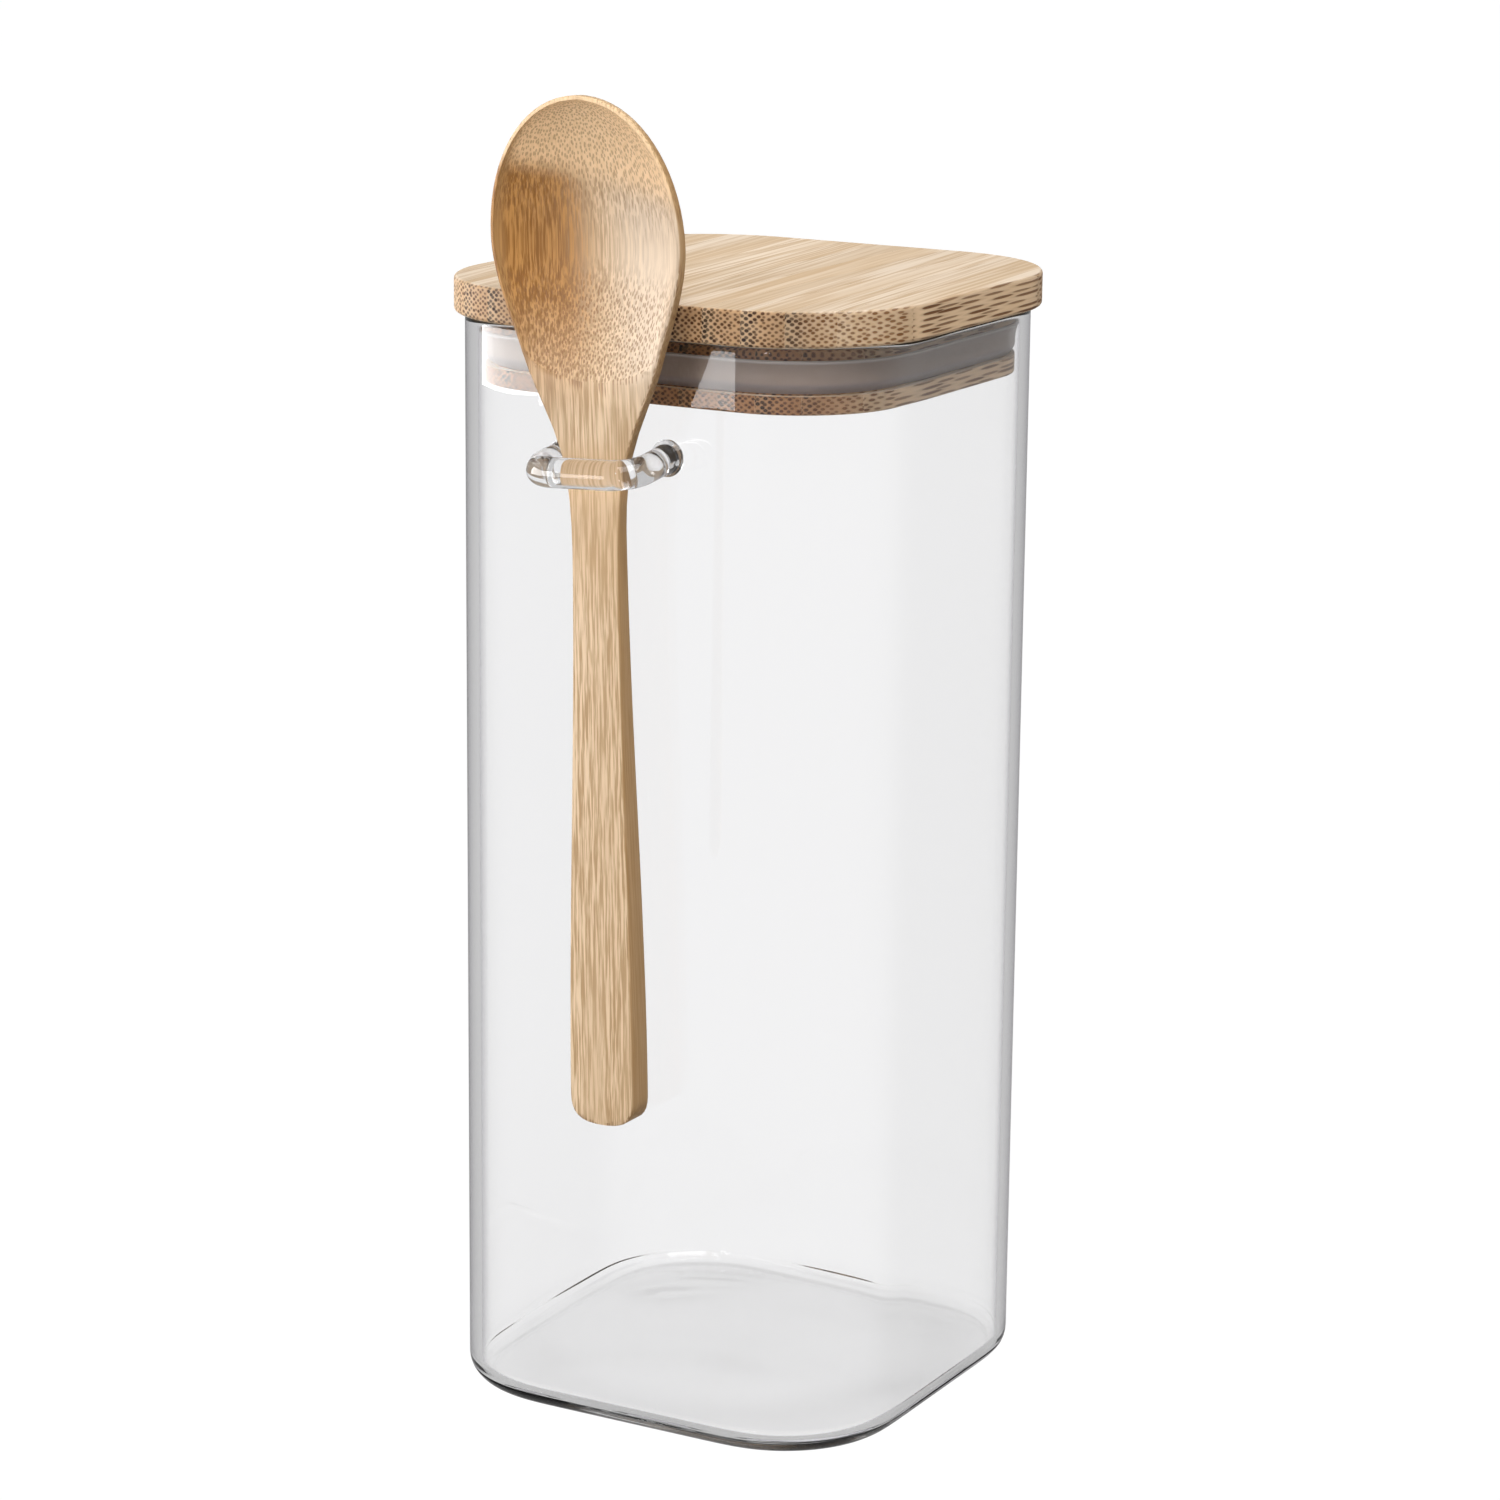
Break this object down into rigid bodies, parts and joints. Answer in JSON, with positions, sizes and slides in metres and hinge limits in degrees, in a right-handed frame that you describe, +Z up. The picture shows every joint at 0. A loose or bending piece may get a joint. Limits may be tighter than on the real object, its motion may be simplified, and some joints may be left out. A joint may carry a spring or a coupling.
{
  "type": "storage jar",
  "caption": "Square clear glass storage jar with a laminated bamboo lid, a silicone seal, and a bamboo spoon hung in a glass loop on the front.",
  "frame": {"origin": "centre of the flat base, on the jar's upright axis", "axes": "+Z up from the base to the lid, -Y towards the front wall with the loop and the spoon, +X to the right of someone who faces the front; the lid's strips run along Y"},
  "size_m": [0.0924, 0.1048, 0.2441],
  "materials": {
    "clear_glass": "clear and glossy",
    "pale_bamboo": "sanded, matt",
    "carved_bamboo": "carved and sanded, matt",
    "milky_silicone": "milky, satin"
  },
  "bodies": {
    "jar": {"glass_jar": "clear_glass", "spoon_loop": "clear_glass"},
    "lid": {"lid_strip_01": "pale_bamboo", "lid_strip_02": "pale_bamboo", "lid_strip_03": "pale_bamboo", "lid_strip_04": "pale_bamboo", "lid_strip_05": "pale_bamboo", "lid_strip_06": "pale_bamboo", "lid_strip_07": "pale_bamboo", "lid_strip_08": "pale_bamboo", "lid_strip_09": "pale_bamboo", "lid_strip_10": "pale_bamboo", "lid_strip_11": "pale_bamboo", "lid_strip_12": "pale_bamboo", "lid_strip_13": "pale_bamboo", "seal_ring": "milky_silicone"},
    "spoon": {"spoon": "carved_bamboo"}
  },
  "joints": [
    {"name": "lid_lift", "type": "slide", "parent": "jar", "child": "lid", "axis": [0, 0, 1], "range_m": [0, 0.05]},
    {"name": "spoon_lift", "type": "slide", "parent": "jar", "child": "spoon", "axis": [-0.0161, 0, 0.9999], "range_m": [0, 0.13]}
  ]
}
